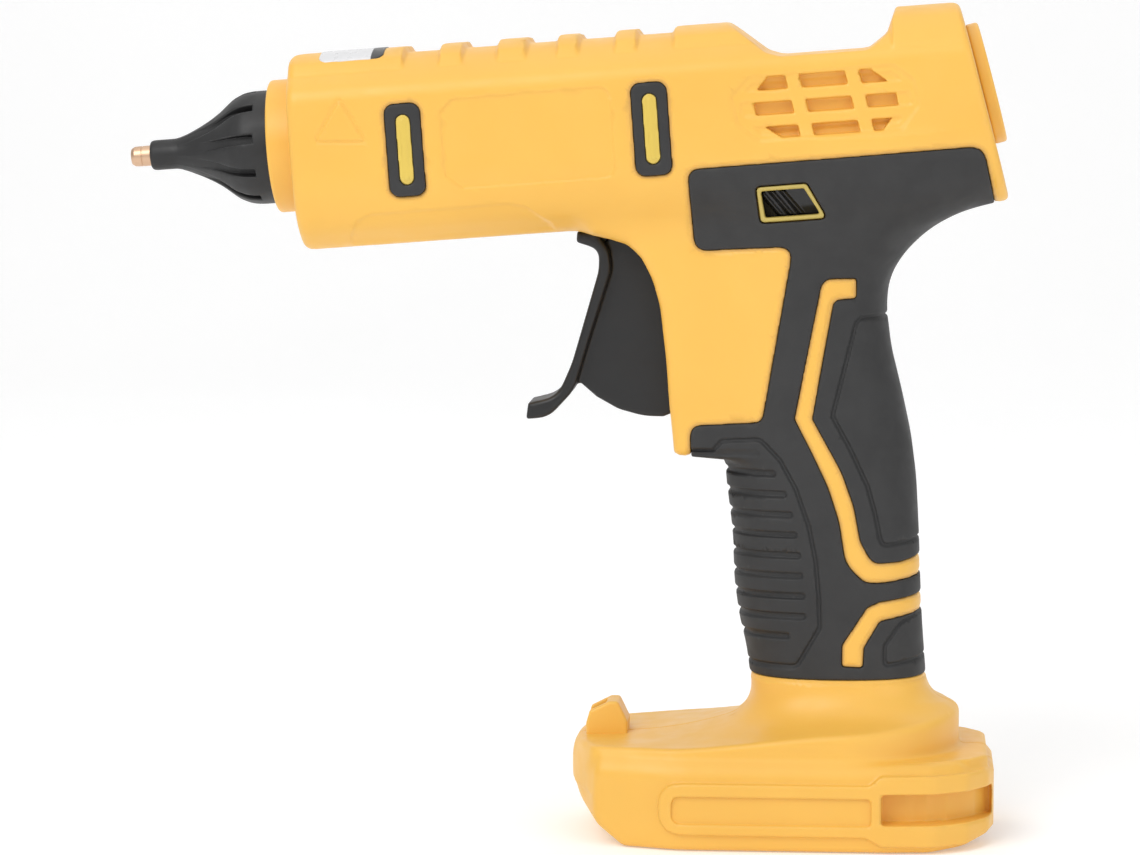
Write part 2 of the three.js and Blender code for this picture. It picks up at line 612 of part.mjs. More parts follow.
// Return spring between the trigger and a post in the right half
const springTurns = 7;
class Coil extends THREE.Curve {
  getPoint(t) {
    const a = t * springTurns * 2 * Math.PI;
    const height = POST.z + 2.6 + t * (SPRING.top - POST.z - 5.2);
    return new THREE.Vector3(SPRING.x + 2.4 * Math.sin(a), 9.4 - 2.4 * Math.cos(a), height);
  }
}
const wire = new THREE.Shape();
wire.absarc(0, 0, 0.4, 0, 2 * Math.PI);
const coil = new THREE.ExtrudeGeometry(wire, {
  steps: springTurns * 10, curveSegments: 2, bevelEnabled: false, extrudePath: new Coil(),
});
add('return_spring', 'steel', solid(fixWinding(mergeVertices(coil))));
add('spring_post', 'steel', crossPin(POST.x, POST.z, 1.4, 6.9, 14.6, 12));

// Slide switch: bezel in the rubber, slider behind it, switch body inside
add('switch_bezel', 'olive', slab(WINDOW_OUTER, -22.4, -18.9).subtract(slab(WINDOW_INNER, -40, 0)));
const slide = [[55.4, 179.2], [61.6, 179.7], [64.6, 174.4], [56.4, 173.6]];
add('switch_slider', 'black', slab(slide, -20.4, -18)
  .add(slab([[53, 182.4], [65.5, 183.4], [67.5, 171.9], [54, 170.9]], -18.2, -16.8))
  .add(box(58, 61, -16.9, -14.6, 175.5, 178)));
add('power_switch', 'black', box(52, 72, -14.3, -6, 170.6, 181.6).subtract(box(56.5, 68, -20, -12, 175, 178.5)));

// Lamp in the foot
const hoodSide = [[5.6, 29.6], [6.6, 33.2], [12.2, 36], [14.6, 36], [17.3, 30.4], [17.3, 23], [5.6, 23]];
add('lamp_hood', 'abs', slab(hoodSide, -6, 6)
  .subtract(slab([[0, 28.8], [0, 34], [9, 34.4], [11.6, 28.8]], -4.2, 4.2))
  .subtract(box(9, 14.2, -3, 3, 24, 30)));
add('lamp_lens', 'lens', box(9.4, 13.8, -2.6, 2.6, 27, 29.6));
add('lamp_board', 'board', box(9.3, 13.9, -2.7, 2.7, 25, 26.7));

// Electrics in the foot and grip
const BLADES = { positive: -11, signal: 0, negative: 11 };
let terminals = box(26, 52, -16, 16, 8.5, SOCKET_CEILING - GAP);
for (const [name, y] of Object.entries(BLADES)) {
  terminals = terminals.subtract(box(34, 60, y - 0.6, y + 0.6, 4, 13));
  add(`${name}_blade`, 'brass', box(36, 56, y - 0.35, y + 0.35, 9.3, 12.7));
}
add('terminal_block', 'black', terminals);
add('control_board', 'board', box(60, 88, 6.5, 8.1, 62, 104));
add('heat_regulator', 'black', box(66, 76, 1.4, 6.2, 80, 94));
add('smoothing_capacitor', 'black', crossPin(82, 70, 4, -6, 6.2, 16));

// Housing screws, driven in from the right
for (const [i, [x, z, seat]] of SCREWS.entries()) {
  add(`housing_screw_${i + 1}`, 'steel', crossPin(x, z, 2.8, seat - 2.7, seat - 0.5, 10)
    .add(crossPin(x, z, 1.4, -8, seat - 2, 8))
    .subtract(crossPin(x, z, 1.2, seat - 1.5, seat + 5, 6)));
}

export default root;
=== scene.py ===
import functools
import json
import math

import bpy
import numpy as np
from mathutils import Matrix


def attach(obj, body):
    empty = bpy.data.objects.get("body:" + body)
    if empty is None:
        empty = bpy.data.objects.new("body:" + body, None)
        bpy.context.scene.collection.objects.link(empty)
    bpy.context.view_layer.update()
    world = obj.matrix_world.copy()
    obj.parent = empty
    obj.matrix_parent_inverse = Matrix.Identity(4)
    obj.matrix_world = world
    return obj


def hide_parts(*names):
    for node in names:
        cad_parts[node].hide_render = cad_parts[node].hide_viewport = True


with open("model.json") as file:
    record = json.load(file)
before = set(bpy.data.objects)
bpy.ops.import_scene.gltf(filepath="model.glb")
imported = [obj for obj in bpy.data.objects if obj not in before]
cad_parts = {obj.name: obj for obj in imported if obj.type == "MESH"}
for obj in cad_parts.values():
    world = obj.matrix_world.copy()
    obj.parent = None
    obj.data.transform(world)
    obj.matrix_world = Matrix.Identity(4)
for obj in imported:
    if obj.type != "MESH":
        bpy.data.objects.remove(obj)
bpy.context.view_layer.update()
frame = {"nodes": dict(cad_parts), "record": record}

import openvdb
from mathutils import Vector

# Lengths are in millimetres, and meshes are made in metres.
# Barrel pieces are placed by u, rearward from the nozzle tip, and v, upward from the nozzle's axis.
MM = 0.001
TILT = math.radians(4.3)
COS, SIN = math.cos(TILT), math.sin(TILT)
TIP_X, TIP_Z = -122.4, 187.9
SIDES = {"left": -1, "right": 1}

# Barrel
BARREL_FRONT = 47.8
BARREL_SECTION = [(0, -29), (13, -29), (22, -23), (26, -14), (26, 14), (20, 20), (12, 23.4), (0, 23.4)]
RIBS = [(47.8, 80.5), (90.2, 96.8), (106.2, 114.4), (122.7, 128.8), (138.6, 144.8), (154.7, 186)]
RIB_HEIGHT = 1.7
REAR_BLOCK_HEIGHT = 2.5
REAR_FACE = (233.2, 24.8, math.radians(10.5))
SADDLE = [
    (165, 29.2), (179.6, 16.4, 4), (183.5, 15, 3), (207.5, 15, 4), (212.8, 18.8, 2.5), (217, 29), (217, 40),
    (165, 40),
]
BARREL_WALL = 2.9
RUBBER_DEPTH = 2.0
HANDLE_WALL = 4.3
LIP = 1.1  # width of the ledge round each piece of rubber
LEDGE_DEPTH = 0.3

# Handle: height, front and rear edge, half width
GRIP = [
    (28, 53, 102.5, 20.5), (33, 53, 101.4, 19.8), (52, 50.6, 99.9, 19.5), (60, 48.6, 99.3, 19.4),
    (70.4, 47.1, 98.8, 19.3), (84, 46.6, 98.3, 19.2), (100, 44.6, 97.4, 19.0), (112, 44, 95.8, 18.8),
    (123.5, 43.5, 93.3, 18.6), (136, 43, 90.2, 18.6), (147, 42, 88.8, 19.0), (154.5, 41, 89.4, 19.6),
    (160.4, 40, 92.2, 20.4), (166, 39, 97, 21.4), (172.2, 38, 105, 22.4), (176.2, 38, 112.7, 23.2),
    (178.6, 38, 121, 23.8), (195, 38, 121, 24.5),
]
GRIP_POWER = 2.5
GUARD_HALF = 17
GUARD = [
    (9.3, 185), (9.3, 169), (17.6, 165.1), (21.5, 161), (24.5, 155.2), (26.6, 147.8), (28.3, 133),
    (29.2, 120.7), (30.6, 107.4, 0.8), (32, 106.6), (44, 105.6), (62, 104), (72, 112), (72, 185),
]

# Rubber overmould in side view, and the two yellow stripes left open in it
RUBBER_FRONT = [
    (36.3, 163.2, 3.8), (63.4, 164.9, 3.6), (55.0, 116.1, 3.0), (35.2, 115.0, 3.2), (35.3, 100),
    (25, 98), (25, 45), (112, 45), (112, 160), (121, 172),
]
RUBBER_TOP = [(239.2, -30), (236.7, -13.2, 4.5), (156.4, -13.8, 3.4)]
MAIN_STRIPE = [
    (80.6, 156.0, 0.9), (71.4, 156.0, 3.6), (63.9, 117.3, 1.2), (68.8, 107.8), (73.2, 98.5, 30),
    (76.3, 89, 30), (78.1, 77.6, 9), (83.4, 71.8, 7), (89.5, 71.9, 8), (98, 73.0), (110, 73.4), (110, 78.8),
    (97.9, 78.4), (92.8, 77.4, 8), (85.6, 77.2, 4), (82.2, 83.2, 8), (80.3, 93.3, 30),
    (76.9, 102.6, 30), (68.8, 117.3, 1), (74.5, 150.0, 2.2), (80.6, 150.5, 0.9),
]
LOWER_STRIPE = [
    (110, 68), (98.3, 67.8), (87.7, 66.6, 2), (84.2, 65.2, 3), (77.4, 54.8, 2.4), (77.3, 48.8, 0.9),
    (83.1, 48.5, 0.9), (83.4, 54.1, 1), (87.7, 61.3, 2.4), (98.1, 63.0), (110, 63.2),
]
PALM_PAD = [
    (110, 145.2), (81.0, 145.2, 3), (74.3, 118.2, 1.5), (79.4, 108.8), (84, 98.9), (86.1, 91.5),
    (88, 82.1, 2.4), (98, 83.3), (110, 83.5),
]
HEEL_PAD = [
    (110, 63.0), (99, 63.0), (93.5, 60.6, 2), (89.1, 54.4, 2), (89.1, 48.9, 1.5), (99, 50.2), (110, 50.6),
]
FINGER_ZONE = [
    (25, 108.0), (41.6, 108.3), (43.8, 110.9, 1.5), (54.5, 111.5, 3), (60, 105.9, 4), (64.4, 97.9),
    (68, 87.7), (70, 77.8), (70.9, 67.8), (71.2, 59.6, 2), (65, 48.7, 2.4), (54.3, 48.6), (25, 48.6),
]
FINGER_RIB_ENDS = [54.4, 59, 62, 63.7, 65, 66, 66.6, 67.2, 67.5, 63]
FINGER_RIB_TOP = 106.7
FINGER_RIB_PITCH = 5.63
FINGER_RIB_DEPTH = 1.0

# Foot
FOOT_SIDE = [
    (17.5, 0, 4), (5, 9.5, 8), (1.0, 15, 5), (0.8, 22, 4), (3.5, 27.4, 3), (14, 60), (118.4, 60),
    (118.4, 21.5), (120.2, 20), (120.2, 4), (112, 1), (101, 0),
]
FOOT_PLAN = [
    (0.8, -20), (0.8, 0, 9), (2, 12, 10), (8.5, 30.5, 5), (32, 38, 24), (90, 38, 10),
    (103, 36.5, 8), (112, 31, 8), (118, 22.5, 8), (120.2, 14, 6), (120.2, -20),
]
FLANGE_PLAN = [(70, -20), (70, 31), (103, 31, 4), (112.5, 25.5, 3), (118.4, 17.5, 2), (118.4, -20)]
SOCKET_PLAN = [
    (16, -20), (16, 22, 3), (24, 29.5, 3), (95, 30.5), (106, 27), (113, 20), (116.2, 14, 1), (121, 12),
    (125, 12), (125, -20),
]
SOCKET_CEILING = 17.5
FRAME_OUTER = [
    (27.5, 4.7, 6.8), (27.5, 18.9, 6.8), (85.3, 18.9, 2), (88.4, 21.6, 2), (128, 21.6), (128, 3.4),
    (112, 1.6), (88.6, 2.1, 2), (84.2, 4.5, 2),
]
FRAME_INNER = [(31.2, 7.7, 2.6), (31.2, 15.2, 2.6), (85.7, 15.2, 1.2), (85.7, 7.7, 1.2)]

# Barrel side details, as (u, v)
PAD_CENTRES = {"front": (79.8, -2.8), "rear": (147.4, -2.0)}
PAD_HALF = (5.0, 12.7)
SLOT_HALF = (1.95, 9.6)
LABEL_PANEL = [
    (90, 6.5, 1), (93.6, 9.9, 1), (136.9, 10.4, 4), (136.8, -14.4, 3.5), (94.7, -14.5, 1), (90.3, -10.7, 1),
]
VENT_EDGE = [
    (169.1, 5.4, 2), (174.3, 10.4, 2), (214.1, 11, 2), (219.5, 6.5, 2), (220.9, -1.1, 2), (215.3, -7.5, 2),
    (176.3, -8, 2), (170.4, -2.8, 2),
]
VENT_OPENING = [
    (179.9, 9.9), (207.6, 9.9), (213.9, 4.8), (214.7, -1.2), (210, -6.9), (182.6, -6.9), (176.3, -2.2),
    (175.3, 4.7),
]
VENT_BARS = [(3.0, 6.2), (-3.7, -0.5)]
VENT_POSTS = [(186.4, 190.2), (202.6, 206.4)]
LOWER_PANEL = [
    (60.5, -40), (62.2, -25.6), (64.7, -21.6, 2), (68.5, -19.9, 3), (106.5, -19.6, 3), (111.4, -20.8, 3),
    (117.5, -26.1), (122, -40),
]
TRIANGLE = [(55.4, 1.1, 0.8), (69.4, 0.1, 0.8), (63.0, 12.4, 0.8)]

# Slide switch on the left side
WINDOW_OUTER = [(53.1, 181.2, 1.4), (67, 182.4, 1.4), (72.6, 172.7, 1.3), (54.4, 171.2, 1.4)]
WINDOW_INNER = [(54.5, 180.0, 0.7), (66.2, 181.0, 0.7), (70.7, 173.9, 0.6), (55.7, 172.7, 0.7)]
SLIDER_FACE = [(50.5, 181.5, 0.5), (74.5, 183.5, 0.5), (75.5, 171.9, 0.5), (52, 170.2, 0.5)]

# Screws [x, z, depth of the seat from the middle plane], driven from the right side
SCREWS = [
    (-53, 171.5, 13), (-29.5, 213, 9), (-20, 171.5, 13), (99, 225, 9),
    (112, 187.5, 13), (72, 152, 14), (61, 108.5, 13), (74, 53.5, 13),
]

# Trigger
PIVOT = (17.989, 171.981)
WEB_RADIUS = 56


def to_world(u, v):
    return TIP_X + u * COS - v * SIN, TIP_Z + u * SIN + v * COS


def leaning(points):
    """Outline points given as (u, v), moved into the upright (x, z) plane."""
    return [to_world(p[0], p[1]) + tuple(p[2:]) for p in points]


def around_pivot(radius, degrees):
    angle = math.radians(degrees)
    return PIVOT[0] + radius * math.sin(angle), PIVOT[1] - radius * math.cos(angle)


def sector(radius, start, end, steps):
    return [around_pivot(radius, start + (end - start) * i / steps) for i in range(steps + 1)]


# Outlines and distance fields


def rounded(points, steps=5):
    """The outline with each corner given as (a, b, radius) replaced by a curve."""
    made = []
    for i, point in enumerate(points):
        if len(point) == 2:
            made.append(tuple(point))
            continue
        corner = Vector(point[:2])
        before = Vector(points[i - 1][:2]) - corner
        after = Vector(points[(i + 1) % len(points)][:2]) - corner
        half = 0.5 * before.angle(after)
        reach = min(point[2] / math.tan(half), 0.48 * before.length, 0.48 * after.length)
        start = corner + before.normalized() * reach
        end = corner + after.normalized() * reach
        for k in range(steps + 1):
            t = k / steps
            made.append(tuple((1 - t) ** 2 * start + 2 * t * (1 - t) * corner + t * t * end))
    return made


def outline(points, a, b):
    """Distance from (a, b) to a closed outline, negative inside it."""
    points = rounded(points)
    a, b = np.broadcast_arrays(a, b)
    nearest = np.full(a.shape, 1e9, np.float32)
    inside = np.zeros(a.shape, bool)
    for (ax, ay), (bx, by) in zip(points, points[1:] + points[:1]):
        ex, ey = bx - ax, by - ay
        length = ex * ex + ey * ey
        if length < 1e-9:
            continue
        t = np.clip(((a - ax) * ex + (b - ay) * ey) / length, 0, 1)
        nearest = np.minimum(nearest, (a - ax - t * ex) ** 2 + (b - ay - t * ey) ** 2)
        if ey:
            inside ^= ((ay > b) != (by > b)) & (a < ax + (b - ay) * (ex / ey))
    distance = np.sqrt(nearest)
    return np.where(inside, -distance, distance).astype(np.float32)


def convex(points, a, b, radius):
    """Distance to an open convex outline run round anticlockwise, with its corners rounded."""
    made = None
    for (ax, ay), (bx, by) in zip(points, points[1:]):
        length = math.hypot(bx - ax, by - ay)
        na, nb = (by - ay) / length, (ax - bx) / length
        edge = a * np.float32(na) + b * np.float32(nb) - np.float32(na * ax + nb * ay)
        made = edge if made is None else meet(made, edge, radius)
    return made


def meet(a, b, radius=0.0):
    """What two shapes share, with the edge between them rounded."""
    if not radius:
        return np.maximum(a, b)
    overlap = np.maximum(radius - np.abs(a - b), 0)
    return np.maximum(a, b) + overlap * overlap / (4 * radius)


def join(a, b, radius=0.0):
    """Two shapes together, with the corner between them filled."""
    if not radius:
        return np.minimum(a, b)
    overlap = np.maximum(radius - np.abs(a - b), 0)
    return np.minimum(a, b) - overlap * overlap / (4 * radius)


def cut(a, b, radius=0.0):
    return meet(a, -b, radius)


def inside_mask(distance, ramp):
    """1 inside the outline and 0 outside it, changing over the ramp's width."""
    return np.clip(0.5 - distance / ramp, 0, 1)


def band(value, low, high, ramp):
    """1 between low and high and 0 beyond them, changing over the ramp's width."""
    return np.clip(0.5 + (value - low) / ramp, 0, 1) * np.clip(0.5 + (high - value) / ramp, 0, 1)


def rounded_box(a, b, half, radius):
    qa = np.abs(a) - half[0] + radius
    qb = np.abs(b) - half[1] + radius
    outer = np.hypot(np.maximum(qa, 0), np.maximum(qb, 0))
    return outer + np.minimum(np.maximum(qa, qb), 0) - radius


def capsule(a, b, start, end, radius):
    """Distance to a round-ended bar that runs along a from start to end at b = 0."""
    return np.hypot(a - np.clip(a, start, end), b) - radius


class Block:
    """Sample points that fill a box, with their upright and barrel coordinates."""

    def __init__(self, low, high, step):
        self.low = np.array(low, float)
        self.step = step
        x, y, z = (np.arange(a, b + step, step, dtype=np.float32) for a, b in zip(low, high))
        self.x = x[:, None, None]
        self.y = y[None, :, None]
        self.z = z[None, None, :]
        self.across = np.abs(self.y)
        self.u = (self.x - TIP_X) * COS + (self.z - TIP_Z) * SIN
        self.v = (self.z - TIP_Z) * COS - (self.x - TIP_X) * SIN


def sampled(field, points):
    """The field's values at points given in steps, by linear interpolation."""
    top = np.array(field.shape) - 1.001
    points = np.clip(points, 0, top)
    cell = points.astype(int)
    part = points - cell
    value = 0
    for corner in range(8):
        offset = np.array([corner & 1, corner >> 1 & 1, corner >> 2 & 1])
        weight = np.prod(np.where(offset, part, 1 - part), axis=1)
        i, j, k = (cell + offset).T
        value = value + weight * field[i, j, k]
    return value


def added(name, data):
    made = bpy.data.objects.new(name, data)
    bpy.context.scene.collection.objects.link(made)
    return made


def surface_of(name, block, field, adaptivity=0.02, mirror=False):
    """A closed mesh on the field's zero surface, shaded by the field's slope."""
    limit = 3 * block.step
    field = np.clip(field, -limit, limit).astype(np.float32)
    grid = openvdb.FloatGrid(limit)
    grid.copyFromArray(field)
    grid.gridClass = openvdb.GridClass.LEVEL_SET
    points, triangles, quads = grid.convertToPolygons(0.0, adaptivity)
    slopes = [
        sampled(field, points + 0.6 * axis) - sampled(field, points - 0.6 * axis)
        for axis in np.eye(3)
    ]
    normals = np.stack(slopes, axis=1)
    normals /= np.maximum(np.linalg.norm(normals, axis=1, keepdims=True), 1e-9)
    places = (block.low + points * block.step) * MM
    faces = [tuple(f) for f in triangles.tolist()] + [tuple(f) for f in quads.tolist()]
    if mirror:
        places[:, 1] *= -1
        normals[:, 1] *= -1
    else:
        faces = [f[::-1] for f in faces]
    mesh = bpy.data.meshes.new(name)
    mesh.from_pydata(places.tolist(), [], faces)
    mesh.validate()
    mesh.shade_smooth()
    if len(mesh.vertices) == len(normals):
        mesh.normals_split_custom_set_from_vertices(normals.tolist())
    return added(name, mesh)


# Body shapes


def barrel_shape(b):
    rise = RIB_HEIGHT * sum(band(b.u, u0, u1, 0.9) for u0, u1 in RIBS) * band(b.v, 20.8, 99, 3.6)
    rise = rise + REAR_BLOCK_HEIGHT * band(b.u, 214, 400, 0.9) * band(b.v, 19, 99, 9)
    shape = convex(BARREL_SECTION, b.across, b.v, 2.2) - rise
    shape = meet(shape, BARREL_FRONT - b.u, 3.2)
    return cut(shape, outline(SADDLE, b.u, b.v), 0.6)


def grip_shape(b):
    heights = [row[0] for row in GRIP]
    reach = np.arange(-3, 3.1, 0.5, dtype=np.float32)

    def along(column):
        values = [row[column] for row in GRIP]
        return np.mean([np.interp(b.z + r, heights, values) for r in reach], axis=0).astype(np.float32)

    front, rear, half = along(1), along(2), along(3)
    depth = (rear - front) / 2
    p = np.abs(b.x - (front + rear) / 2) / depth
    q = b.across / half
    size = (p ** GRIP_POWER + q ** GRIP_POWER) ** (1 / GRIP_POWER) + 1e-4
    slope_p = (p ** (GRIP_POWER - 1) / depth) ** 2
    slope_q = (q ** (GRIP_POWER - 1) / half) ** 2
    shape = (size - 1) * size ** (GRIP_POWER - 1) / np.sqrt(slope_p + slope_q + 1e-9)
    return np.maximum(shape, b.z - 192)


def rear_plane(b):
    u, v, lean = REAR_FACE
    return (b.u - u) * math.cos(lean) + (b.v - v) * math.sin(lean)


def body_shape(b, grip):
    """Barrel and handle together, and the barrel alone."""
    guard = meet(outline(GUARD, b.x, b.z), b.across - GUARD_HALF, 3.5)
    handle = join(grip, guard, 3)
    barrel = barrel_shape(b)
    body = meet(join(barrel, handle, 8), rear_plane(b), 2)
    return body, meet(barrel, rear_plane(b), 2)


def rubber_region(x, z):
    region = outline(leaning(RUBBER_TOP) + RUBBER_FRONT, x, z)
    region = np.maximum(region, -outline(MAIN_STRIPE, x, z))
    return np.maximum(region, -outline(LOWER_STRIPE, x, z))


def pad_region(b, centre):
    a, c = b.u - centre[0], b.v - centre[1]
    return np.maximum(rounded_box(a, c, PAD_HALF, 2.8), -rounded_box(a, c, SLOT_HALF, SLOT_HALF[0]))


def hollow_for(surface, region, depth, rim):
    """The hollow a rubber piece sits in, with a low ledge round its rim."""
    pocket = np.maximum(region, -(surface + depth))
    return np.minimum(pocket, np.maximum(region - rim, -(surface + LEDGE_DEPTH)))


def side_relief(b):
    """How far the barrel's side is set back from its plain surface by panels, vents and marks."""
    on_side = band(b.across, 14, 99, 2)
    panel = 0.5 * inside_mask(outline(LABEL_PANEL, b.u, b.v), 0.45)
    lower = 0.5 * inside_mask(outline(LOWER_PANEL, b.u, b.v), 0.6)
    sign = outline(TRIANGLE, b.u, b.v)
    mark = groove(sign, 0.7, 0.4) - 0.3 * inside_mask(sign, 0.5)
    slanted = b.u + 0.19 * b.v
    bars = sum(band(b.v, low, high, 0.8) for low, high in VENT_BARS)
    bars = np.maximum(bars, sum(band(slanted, low, high, 0.8) for low, high in VENT_POSTS))
    edge = outline(VENT_EDGE, b.u, b.v)
    vent = inside_mask(edge + 0.5, 1.0) * 0.5 + inside_mask(edge + 2.4, 1.0) * 0.5 * (1 - bars)
    return (panel + lower + mark + vent) * on_side


def vent_openings(b, surface):
    region = outline(VENT_OPENING, b.u, b.v)
    for low, high in VENT_BARS:
        region = np.maximum(region, -np.maximum(low - b.v, b.v - high))
    slanted = b.u + 0.19 * b.v
    for low, high in VENT_POSTS:
        region = np.maximum(region, -np.maximum(low - slanted, slanted - high))
    return meet(meet(region, -(surface + 2.6), 0.3), 15 - b.across)


def foot_shape(b, grip):
    plan = outline(FOOT_PLAN, b.x, b.across)
    side = outline(FOOT_SIDE, b.x, b.z)
    top = b.z - (26.6 + 0.03 * b.x)
    spread_out = np.hypot((b.x - 82) * 0.85, b.y)
    cone = (b.z - 36.8 + 0.5 * np.maximum(spread_out - 21, 0)) * 0.9
    raised = join(grip, join(top, cone, 7), 8)
    block_plan = np.maximum(outline(FOOT_PLAN, b.x, b.across + 4.6), b.x - 77)
    disc = np.hypot(b.x - 76.6, b.y) - 33.4
    upper = meet(raised, np.minimum(block_plan, disc), 1.8)
    upper = np.maximum(upper, 15 - b.z)
    skirt = meet(plan + 1.4, b.z - 24.4, 1)
    skirt = meet(skirt, (plan + 1.4) * 0.8 + (b.z - 21.2) * 0.6, 1.5)
    flange = meet(outline(FLANGE_PLAN, b.x, b.across), b.z - 24.6, 0.8)
    flange = np.maximum(flange, 15 - b.z)
    shape = join(join(upper, skirt, 2.2), flange, 0.5)
    off_front = np.where(b.x < 90, 20 - b.across, -5)
    proud = meet(plan, np.maximum(outline(FRAME_OUTER, b.x, b.z), off_front), 0.8)
    shape = join(shape, proud, 0.5)
    panel = np.maximum(outline(FRAME_INNER, b.x, b.z), -(plan + 1.1))
    shape = cut(shape, panel, 0.4)
    return meet(shape, side, 2.5)


def socket_space(b):
    space = np.maximum(outline(SOCKET_PLAN, b.x, b.across), b.z - SOCKET_CEILING)
    rail = np.maximum(27 - b.across, np.maximum(34 - b.x, b.x - 96))
    rail = np.maximum(rail, np.maximum(3.2 - b.z, b.z - 7))
    return cut(space, rail, 0.4)


def ear_window(b, plan):
    """Latch window: shallow over the socket wall, and deeper behind that wall's rear end."""
    window = outline([(88.5, 8, 1), (88.5, 16.5, 1), (118.6, 16.5, 0.4), (118.6, 8, 0.4)], b.x, b.z)
    window = np.maximum(window, 1.2 - outline(SOCKET_PLAN, b.x, b.across))
    window = np.maximum(window, np.where(b.x < 107, -(plan + 6.2), -5))
    return np.maximum(window, 14.5 - b.across)


def hollow_inside(b, body, barrel):
    backing = np.maximum(np.abs(b.u - 195) - 27, np.maximum(np.abs(b.v - 1.5) - 11, 21 - b.across))
    room = np.minimum(barrel + BARREL_WALL, body + HANDLE_WALL)
    return np.maximum(room, -backing)


def trigger_room(b):
    sweep = [(PIVOT[0] - 10, PIVOT[1] + 9), (PIVOT[0] - 14, PIVOT[1] - 12)]
    sweep += sector(WEB_RADIUS + 1.4, -14, 44, 12)
    sweep += [(PIVOT[0] + 14, PIVOT[1] + 9)]
    return np.maximum(outline(sweep, b.x, b.z), b.across - 7.6)


def around_screws(b, shape):
    """shape(distance from the screw's axis, depth of its seat) for every screw, joined together."""
    made = [shape(np.hypot(b.x - x, b.z - z), seat) for x, z, seat in SCREWS]
    return functools.reduce(np.minimum, made)


def screw_wells(b):
    def stepped_hole(radius, seat):
        well = np.maximum(radius - 3.1, seat - 3 - b.across)
        return np.minimum(well, radius - 1.7)

    return around_screws(b, stepped_hole)


def screw_columns(b):
    return around_screws(b, lambda radius, seat: radius - 4.4)


def housing_halves():
    b = Block((-79, -39.6, -1.5), (124.5, 0.95, 234.5), 0.45)
    grip = grip_shape(b)
    body, barrel = body_shape(b, grip)
    body = body + side_relief(b)
    foot = foot_shape(b, grip)
    plan = outline(FOOT_PLAN, b.x, b.across)
    shape = np.minimum(np.maximum(body, 30 - b.z), foot)
    shape = cut(shape, hollow_for(body, rubber_region(b.x, b.z), RUBBER_DEPTH, LIP), 0.2)
    for centre in PAD_CENTRES.values():
        pocket = hollow_for(body, pad_region(b, centre), 1.6, LIP)
        shape = cut(shape, np.maximum(pocket, 15 - b.across), 0.2)
    shape = cut(shape, vent_openings(b, body))
    hollow = np.maximum(hollow_inside(b, body, barrel), 36 - b.z)
    hollow = np.maximum(hollow, -screw_columns(b))
    radius = np.hypot(b.y, b.v)
    nose_hole = np.maximum(radius - 18.8, b.u - 56)
    inlet_hole = np.maximum(radius - 9.6, 225 - b.u)
    for space in (hollow, nose_hole, inlet_hole, trigger_room(b), socket_space(b)):
        shape = np.maximum(shape, -space)
    shape = cut(shape, ear_window(b, plan), 0.6)
    shape = meet(shape, b.y + 0.06, 0.35)
    window = np.maximum(outline(WINDOW_OUTER, b.x, b.z), 12 - b.across)
    left = np.maximum(shape, -window)
    right = cut(shape, screw_wells(b), 0.4)
    return [
        surface_of("left_housing_shell", b, left),
        surface_of("right_housing_shell", b, right, mirror=True),
    ]


def finger_relief(b):
    """Shingled finger ribs: each step is sharp at its lower edge and runs out upward."""
    relief = 0
    for i, end in enumerate(FINGER_RIB_ENDS):
        low = FINGER_RIB_TOP - i * FINGER_RIB_PITCH
        bar = capsule(b.x, b.z - low - 1.0, 20, end - 1.0, 1.0)
        depth = FINGER_RIB_DEPTH * np.clip(1 - 0.5 * (b.z - low) / 2, 0, 1) * (0.5 if i == 0 else 1)
        relief = relief + depth * np.clip(-bar / 0.3, 0, 1)
    return relief


def groove(distance, width, depth):
    return depth * np.clip((width / 2 - np.abs(distance)) / 0.3 + 0.5, 0, 1)


def overmould_halves():
    b = Block((33.5, -30, 43.5), (124, 0.9, 192), 0.36)
    body, _ = body_shape(b, grip_shape(b))
    region = rubber_region(b.x, b.z)
    relief = finger_relief(b)
    for pad in (FINGER_ZONE, PALM_PAD, HEEL_PAD):
        relief = relief + groove(outline(pad, b.x, b.z), 1.0, 0.65)
    skin = meet(body + relief - 0.12, region + 0.06, 0.6)
    skin = np.maximum(skin, -(body + RUBBER_DEPTH - 0.15))
    skin = np.maximum(skin, -(trigger_room(b) - 0.2))
    skin = meet(skin, b.y + 0.06, 0.35)
    window = outline(WINDOW_OUTER, b.x, b.z) - 0.2
    left = cut(skin, np.maximum(window, 12 - b.across), 0.5)
    wells = around_screws(b, lambda radius, seat: np.maximum(radius - 3.4, 5 - b.across))
    right = cut(skin, wells, 0.5)
    return [
        surface_of("left_rubber_grip", b, left),
        surface_of("right_rubber_grip", b, right, mirror=True),
    ]


def side_pads():
    made = []
    for place, centre in PAD_CENTRES.items():
        x, z = to_world(*centre)
        b = Block((x - 8.5, -28, z - 15.5), (x + 8.5, -22, z + 15.5), 0.3)
        region = pad_region(b, centre)
        pad = meet(b.across - 25.85, region + 0.06, 0.6)
        pad = np.maximum(pad, 24.55 - b.across)
        for side, sign in SIDES.items():
            piece = surface_of(f"{side}_{place}_rubber_pad", b, pad, mirror=sign > 0)
            made.append((f"{side}_{place}_pad", piece))
    return made


# Turned pieces on the barrel's axis


